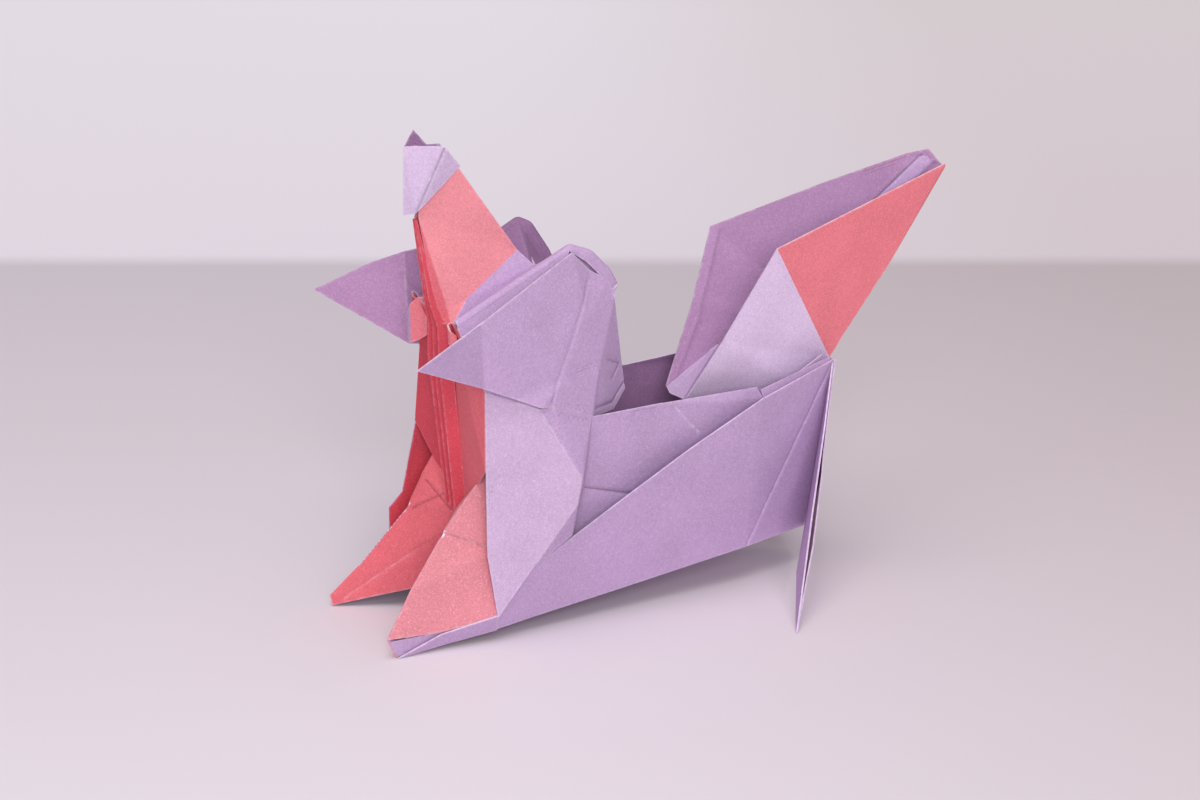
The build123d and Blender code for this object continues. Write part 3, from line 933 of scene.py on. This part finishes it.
def pleatRow(station):
    # points across the pleats, folded forward and back in turn
    (along, out, up), halfWidth, depth = station
    row = []
    for step in range(2 * pleats["count"] + 1):
        share = step / pleats["count"] - 1
        x = pawLine + pleats["start"][0] + along * pleats["size"][0] - depth * (step % 2)
        y = out * pleats["size"][1] + share * halfWidth
        row.append(Vector((x, y, footLift + up * pleats["size"][2])))
    return row


def foldChest():
    for side in (-1, 1):
        points = cornersOf(neck, side)
        points["collar"] = cornersOf(head, side)["rollOutFront"]
        # the near breast is the darker redder coral and the far breast the deep red: painted shade and
        # coral reflection
        foldSheet(sideName("breast", side), panelsOf(points, [
            "collar kiteTop kiteA breast throat gullet",
        ]), (-1, 0, 0), [shadedCoral if side < 0 else deepShadedCoral], [lavender], bow=0.8, wear=0.3)
        points.update({name: cornersOf(snout, side)[name] for name in ("chin", "lipTop", "cheek")})
        points["valleyFront"] = cornersOf(head, side)["valleyFront"]
        # the throat is the darker redder coral: painted shade and coral reflection
        foldSheet(sideName("throat", side), panelsOf(points, [
            "lipTop chin valleyFront gullet throat",
            "valleyFront collar gullet",
        ]), (-1, side, 0), [shadedCoral], [shadedCoral], bow=0, wear=0.3)
    rows = [pleatRow(pleats["stations"][name]) for name in pleats["stations"]]
    panels = []
    for upper, lower in zip(rows, rows[1:]):
        panels += stripsBetween(upper, lower, [0] * (2 * pleats["count"]))
    # the pleats are the deep red coral, painted shade and coral reflection; the white along their folds is
    # wear, on the ridges also painted highlight
    foldSheet("pleats", panels, (-1, -0.5, 0), [deepShadedCoral], [deepShadedCoral], bow=0, soft=1, wear=0.5)
    curl = placeCorners(pleats, pleats["curl"], 1)
    foldSheet("farCurl", panelsOf(curl, [
        "fromChest turnA turnALow fromChestLow",
        "turnA turnB turnBLow turnALow",
        ("turnB turnC turnCLow turnBLow", 1),
        ("turnC curlEnd curlEndLow turnCLow", 1),
    ]), (-1, 0, 0), [coral, lavender], [coral, coral], sharp=pleats["sharp"], bow=0)
    knob = placeCorners(pleats, pleats["knob"], -1)
    foldSheet("nearKnob", panelsOf(knob, [
        "fromChest turnA turnALow fromChestLow",
        "turnA turnB turnBLow turnALow",
        "turnB turnC turnCLow turnBLow",
    ]), (-1, 0, 0), [coral], [coral], sharp=pleats["sharp"], bow=0)


# Front legs

frontLeg = {
    "reach": 15.3 * mm,
    "height": 25.0 * mm,
    "halfWidth": 12.6 * mm,
    "pawSpread": {-1: 12.5 * mm, 1: 9.0 * mm},
    "pawAhead": {-1: 0.0, 1: 1.9 * mm},
    "corners": {
        "top": (1.030, 0.675, 0.940),
        "fore": (0.800, 0.595, 0.745),
        "knee": (0.630, 0.600, 0.610),
        "shin": (0.235, 0.860, 0.360),
        "pawTop": (-0.040, 1.000, 0.116),
        "pawTip": (0.050, 0.985, 0.004),
        "sole": (0.464, 0.980, 0.104),
        "base": (1.000, 1.030, 0.148),
        "edge": (1.050, 0.870, 0.510),
        "groin": (0.970, -0.030, 0.550),
        "inA": (0.657, 0.440, 0.340),
        "inB": (0.267, 0.700, 0.120),
        "lowA": (0.800, 0.270, 0.180),
        "lowB": (0.640, 0.354, 0.110),
        "breast": (0.990, -0.030, 0.640),
        "lipTip": (0.060, 1.005, 0.000),
        "lipUp": (0.470, 1.015, 0.100),
        "lipBase": (1.000, 1.045, 0.160),
        "lipHem": (1.020, 0.945, 0.055),
        "lipLow": (0.520, 0.950, 0.024),
        "liningTop": (-0.010, 0.985, 0.100),
        "liningSole": (0.464, 0.958, 0.104),
        "liningBase": (0.960, 0.985, 0.146),
        "liningLow": (0.520, 0.935, 0.030),
        "liningTip": (0.055, 0.975, 0.006),
        "rubbedA": (0.610, 0.610, 0.590),
        "rubbedB": (0.640, 0.600, 0.612),
    },
    "farCorners": {
        "knee": (0.660, 0.620, 0.560),
        "shin": (0.260, 0.860, 0.228),
        "pawTop": (0.010, 1.000, 0.064),
        "pawTip": (0.023, 0.965, 0.004),
        "inB": (0.267, 0.700, 0.045),
        "liningTop": (0.030, 0.985, 0.055),
        "rubbedA": (0.635, 0.630, 0.540),
        "rubbedB": (0.690, 0.615, 0.580),
    },
    "farLines": {
        "crossA": (0.820, 0.512, 0.723),
        "crossB": (0.930, 0.068, 0.601),
        "crossC": (0.724, 0.554, 0.559),
        "crossD": (0.984, 0.091, 0.724),
        "ridgeA": (0.131, 0.909, 0.043),
        "ridgeB": (0.910, 0.240, 0.450),
        "rubbedC": (0.690, 0.639, 0.550),
        "wornA": (0.500, 0.716, 0.427),
        "wornB": (0.600, 0.656, 0.510),
    },
    # marks below 0 paint shade along their creases; the marks above 0 are worn white
    "marks": {
        -1: [("rubbedA rubbedB", 20), ("knee edge", -0.5)],
        1: [
            ("rubbedA rubbedB", 20),
            ("crossA crossB", -0.7),
            ("crossC crossD", -0.7),
            ("ridgeA ridgeB", 0.2),
            ("knee shin", 0.25),
            ("wornA wornB", 3),
            ("rubbedA rubbedC rubbedB", 20),
        ],
    },
    "sharp": {-1: paper["sharpFold"], 1: paper["noneSharp"]},
}


def legCorners(shares, side):
    # the leg widens or narrows from the chest to its own paw
    ahead, spread = frontLeg["pawAhead"][side], frontLeg["pawSpread"][side]
    points = {}
    for name, (along, out, up) in shares.items():
        width = spread + (frontLeg["halfWidth"] - spread) * along
        x = pawLine + along * (frontLeg["reach"] + ahead) - ahead
        points[name] = Vector((x, side * out * width, footLift + up * frontLeg["height"]))
    return points


def foldFrontLegs():
    for side in (-1, 1):
        shares = dict(frontLeg["corners"])
        if side > 0:
            shares.update({**frontLeg["farCorners"], **frontLeg["farLines"]})
        points = legCorners(shares, side)
        # the near leg is the paler flecked coral, painted light and sheen; the far leg the darker redder
        # coral, painted shade and coral reflection
        foldSheet(sideName("leg", side), panelsOf(points, [
            "knee shin pawTop sole base edge",
            "knee edge top fore",
            "fore top breast groin inA knee",
            "knee inA inB shin",
            "shin inB pawTip pawTop",
            "inA groin lowA lowB",
            "inA lowB inB",
        ]), (-0.3, side, 0), [litLegCoral if side < 0 else shadedCoral], [lavender],
            marksOf(points, frontLeg["marks"][side]), sharp=frontLeg["sharp"][side], bow=0.8)
        foldSheet(sideName("legLip", side), panelsOf(points, [
            "lipTip lipUp lipLow",
            "lipUp lipBase lipHem lipLow",
        ]), (0, side, 0), [lavender], [lavender], bow=0)
        foldSheet(sideName("legLining", side), panelsOf(points, [
            "liningTop liningSole liningBase liningLow liningTip",
        ]), (0, side, 0), [lavender], [lavender], bow=0)


# Hind legs

hindLeg = {
    "start": (54.7 * mm, 0),
    "size": (17.3 * mm, 27.0 * mm, 31.5 * mm),
    "corners": {
        "hip": (0.977, 0.185, 0.987),
        "edgeA": (0.769, 0.356, 0.740),
        "edgeB": (0.445, 0.622, 0.430),
        "edgeC": (0.168, 0.856, 0.156),
        "foot": (0.000, 1.000, 0.000),
        "heel": (0.803, 0.133, 0.190),
        "soleA": (0.324, 0.610, 0.140),
        "soleB": (0.087, 0.889, 0.022),
        "rearHip": (1.058, 0.120, 0.987),
        "rearA": (0.734, 0.393, 0.620),
        "rearB": (0.690, 0.430, 0.524),
        "rearC": (0.392, 0.696, 0.280),
        "rearD": (0.264, 0.790, 0.178),
    },
}


def foldHindLegs():
    for side in (-1, 1):
        points = cornersOf(hindLeg, side)
        # the inner face of each hind leg's front layer is maroon: painted shade
        foldSheet(sideName("hindFront", side), panelsOf(points, [
            "soleA heel hip edgeA edgeB",
            "soleA edgeB edgeC soleB",
            "soleB edgeC foot",
        ]), (-1, 0, 0), [lavender], [darkShadedCoral])
        foldSheet(sideName("hindRear", side), panelsOf(points, [
            "soleA heel rearHip rearA rearB rearC",
            "soleA rearC rearD soleB",
            "soleB rearD foot",
        ]), (1, 0, 0), [lavender], [lavender])


# Tail

tail = {
    "start": (48.5 * mm, 20.0 * mm),
    "size": (44.0 * mm, 8.5 * mm, 38.0 * mm),
    "corners": {
        "tip": (0.998, 0.020, 0.984),
        "farTip": (0.950, 0.153, 1.056),
        "nearEdge": (0.991, -0.060, 1.003),
        "farEdge": (0.885, 0.330, 1.037),
        "farMid": (0.600, 0.590, 0.940),
        "nearCorner": (0.268, -0.965, 0.797),
        "farCorner": (0.214, 0.965, 0.792),
        "nearSide": (0.112, -0.640, 0.445),
        "farSide": (0.116, 0.610, 0.520),
        "nearLow": (0.007, -0.376, 0.218),
        "farLow": (0.000, 0.376, 0.218),
        "spineBase": (0.575, 0.000, 0.274),
        "spineTurn": (0.622, 0.000, 0.353),
        "spineMid": (0.789, 0.000, 0.616),
        "rootRear": (0.523, 0.000, 0.105),
        "rootFront": (0.170, 0.000, 0.040),
        "hemTop": (0.243, 0.925, 0.779),
        "hemMid": (0.132, 0.578, 0.449),
        "hemLow": (0.038, 0.378, 0.242),
        "pleatTip": (0.193, 0.370, 0.361),
        "pleatFar": (0.001, 0.340, 0.214),
        "pleatMid": (-0.003, 0.165, 0.200),
        "pleatNear": (0.011, -0.188, 0.199),
        "pleatRoot": (0.261, 0.000, 0.079),
        "flapA": (0.766, 0.250, 0.877),
        "flapB": (0.928, 0.200, 1.036),
        "flapC": (0.972, 0.110, 1.010),
        "flapD": (0.868, 0.130, 0.907),
    },
    # every tail mark is below 0 and paints shade along its crease
    "farMarks": [("hemTop hemMid hemLow", -0.3), ("flapA flapB", -0.6), ("flapD flapC", -0.4)],
    "flapMarks": [("flapA flapB", -0.9), ("flapD flapC", -0.9)],
}


def foldTail():
    points = cornersOf(tail, 1)
    # the tail's lower near panel is the much lighter lavender: painted light
    foldSheet("tailNear", panelsOf(points, [
        ("nearCorner nearEdge tip spineMid spineTurn spineBase", 0),
        ("nearCorner spineBase rootRear rootFront nearLow nearSide", 1),
    ]), (0, -1, 0), [coral, litTailLavender], [lavender, lavender])
    # the far half's inner faces are the darker redder lavender: painted shade and coral reflection
    foldSheet("tailFar", panelsOf(points, [
        ("farCorner farMid farEdge farTip tip spineMid spineTurn", 0),
        ("farCorner spineTurn spineBase rootRear rootFront farLow farSide", 1),
    ]), (0, 1, 0), [coral, lavender], [shadedMauve, shadedMauve], marksOf(points, tail["farMarks"]))
    foldSheet("tailPleat", panelsOf(points, [
        "pleatTip pleatMid pleatFar",
        "pleatTip pleatMid pleatNear pleatRoot",
    ]), (0, -1, 0), [lavender], [lavender], bow=0)
    foldSheet("tailTipFold", panelsOf(points, [
        "flapA flapB flapC flapD",
    ]), (0, -1, 0), [lavender], [lavender], marksOf(points, tail["flapMarks"]), bow=0, wear=0.3)


parts = (foldBody, foldNeck, foldHead, foldSnout, foldChest, foldFrontLegs, foldHindLegs, foldTail)
for foldPart in parts:
    foldPart()
    print(foldPart.__name__, "done")


# Table

table = {
    "size": 6.0,
    "rough": 0.55,
    "specular": 0.2,
    "lookAlong": Vector((0.4067, 0.9135, 0)),   # level direction in which the photograph looks
    "lookAcross": Vector((0.9135, -0.4067, 0)),
    "span": (-0.20, 0.60),                      # the tones change within this depth
    # painted light falloff: the table darkens from the front to its back edge, and the wall past that edge
    # grows lighter further back
    "tones": [                                  # depth along it, and the tone there
        (-0.140, fromScreen(236, 228, 236)),
        (-0.060, fromScreen(228, 219, 228)),
        (0.060, fromScreen(216, 205, 213)),
        (0.178, fromScreen(208, 198, 206)),
        (0.187, fromScreen(235, 226, 236)),
        (0.520, fromScreen(252, 246, 253)),
    ],
    # painted shade: the table darkens towards the right
    "paintedShadeRight": (0.87, 0.84, 0.81, 1.0),        # tone to the right, as a share
    "darkFrom": -0.06,                          # it sets in between these two places across
    "darkTo": 0.12,
}


def placeAlong(tree, place, direction):
    dot = addNode(tree, "ShaderNodeVectorMath", operation="DOT_PRODUCT")
    link(tree, place.outputs["Object"], dot.inputs[0])
    dot.inputs[1].default_value = direction
    return dot.outputs["Value"]


def layTable():
    deselectAll()
    bpy.ops.mesh.primitive_plane_add(size=table["size"], location=(0, 0, 0))
    floor = bpy.context.object
    floor.name = "table"
    material = bpy.data.materials.new("tableTop")
    material.use_nodes = True
    tree = material.node_tree
    shader = tree.nodes["Principled BSDF"]
    shader.inputs["Roughness"].default_value = table["rough"]
    shader.inputs["Specular IOR Level"].default_value = table["specular"]
    place = addNode(tree, "ShaderNodeTexCoord")
    nearest, farthest = table["span"]
    depths = addRange(tree, placeAlong(tree, place, table["lookAlong"]), nearest, farthest)
    ramp = addNode(tree, "ShaderNodeValToRGB")
    link(tree, depths.outputs["Result"], ramp.inputs["Fac"])
    stops = ramp.color_ramp.elements
    for extra in table["tones"][2:]:
        stops.new(1.0)
    for stop, (depth, tone) in zip(stops, table["tones"]):
        stop.position = (depth - nearest) / (farthest - nearest)
        stop.color = tone
    across = placeAlong(tree, place, table["lookAcross"])
    side = addRange(tree, across, table["darkFrom"], table["darkTo"], "SMOOTHSTEP")
    shaded = addMix(tree, side.outputs["Result"], ramp.outputs["Color"], table["paintedShadeRight"], "MULTIPLY")
    link(tree, shaded, shader.inputs["Base Color"])
    floor.data.materials.append(material)


layTable()
print("table laid")


# Light

lamps = [
    {"name": "key", "place": (-0.75, -2.18, 1.00), "size": 1.20, "watts": 31.0},
    {"name": "fill", "place": (1.10, -1.60, 0.90), "size": 1.60, "watts": 1.5},
    {"name": "top", "place": (-0.30, -0.50, 2.30), "size": 2.00, "watts": 36.0},
]

sky = {
    "soft": fromScreen(255, 250, 255),          # lights the dog
    "softStrength": 0.30,
    "seen": fromScreen(228, 219, 227),          # what the camera would see past the table
    "seenStrength": 1.0,
}


def hangLamps():
    for lamp in lamps:
        light = bpy.data.lights.new(lamp["name"], "AREA")
        light.shape = "SQUARE"
        light.size = lamp["size"]
        light.energy = lamp["watts"]
        holder = bpy.data.objects.new(lamp["name"], light)
        bpy.context.scene.collection.objects.link(holder)
        holder.location = lamp["place"]
        holder.rotation_mode = "QUATERNION"
        holder.rotation_quaternion = (-Vector(lamp["place"])).to_track_quat("-Z", "Y")


def paintSky():
    world = bpy.data.worlds.new("studio")
    bpy.context.scene.world = world
    world.use_nodes = True
    tree = world.node_tree
    soft = tree.nodes["Background"]
    soft.inputs["Color"].default_value = sky["soft"]
    soft.inputs["Strength"].default_value = sky["softStrength"]
    seen = addNode(tree, "ShaderNodeBackground")
    seen.inputs["Color"].default_value = sky["seen"]
    seen.inputs["Strength"].default_value = sky["seenStrength"]
    path = addNode(tree, "ShaderNodeLightPath")
    choose = addNode(tree, "ShaderNodeMixShader")
    link(tree, path.outputs["Is Camera Ray"], choose.inputs["Fac"])
    link(tree, soft.outputs["Background"], choose.inputs[1])
    link(tree, seen.outputs["Background"], choose.inputs[2])
    link(tree, choose.outputs["Shader"], tree.nodes["World Output"].inputs["Surface"])


hangLamps()
paintSky()
bpy.context.scene.view_settings.view_transform = "Standard"
print("lamps hung")


# Camera

shot = {
    "lens": 75.0,
    "sensor": 36,
    "clipStart": 0.01,
    "place": Vector((pawLine - 101.5 * mm, -310.2 * mm, 139.0 * mm)),
    "azimuth": math.radians(-24),
    "elevation": math.radians(18),
}


def placeCamera():
    camera = bpy.data.objects.new("camera", bpy.data.cameras.new("camera"))
    bpy.context.scene.collection.objects.link(camera)
    bpy.context.scene.camera = camera
    camera.data.lens = shot["lens"]
    camera.data.sensor_width = shot["sensor"]
    camera.data.clip_start = shot["clipStart"]
    camera.location = shot["place"]
    a, e = shot["azimuth"], shot["elevation"]
    back = Vector((math.sin(a) * math.cos(e), -math.cos(a) * math.cos(e), math.sin(e)))
    camera.rotation_mode = "QUATERNION"
    camera.rotation_quaternion = (-back).to_track_quat("-Z", "Y")


placeCamera()

print("camera placed")
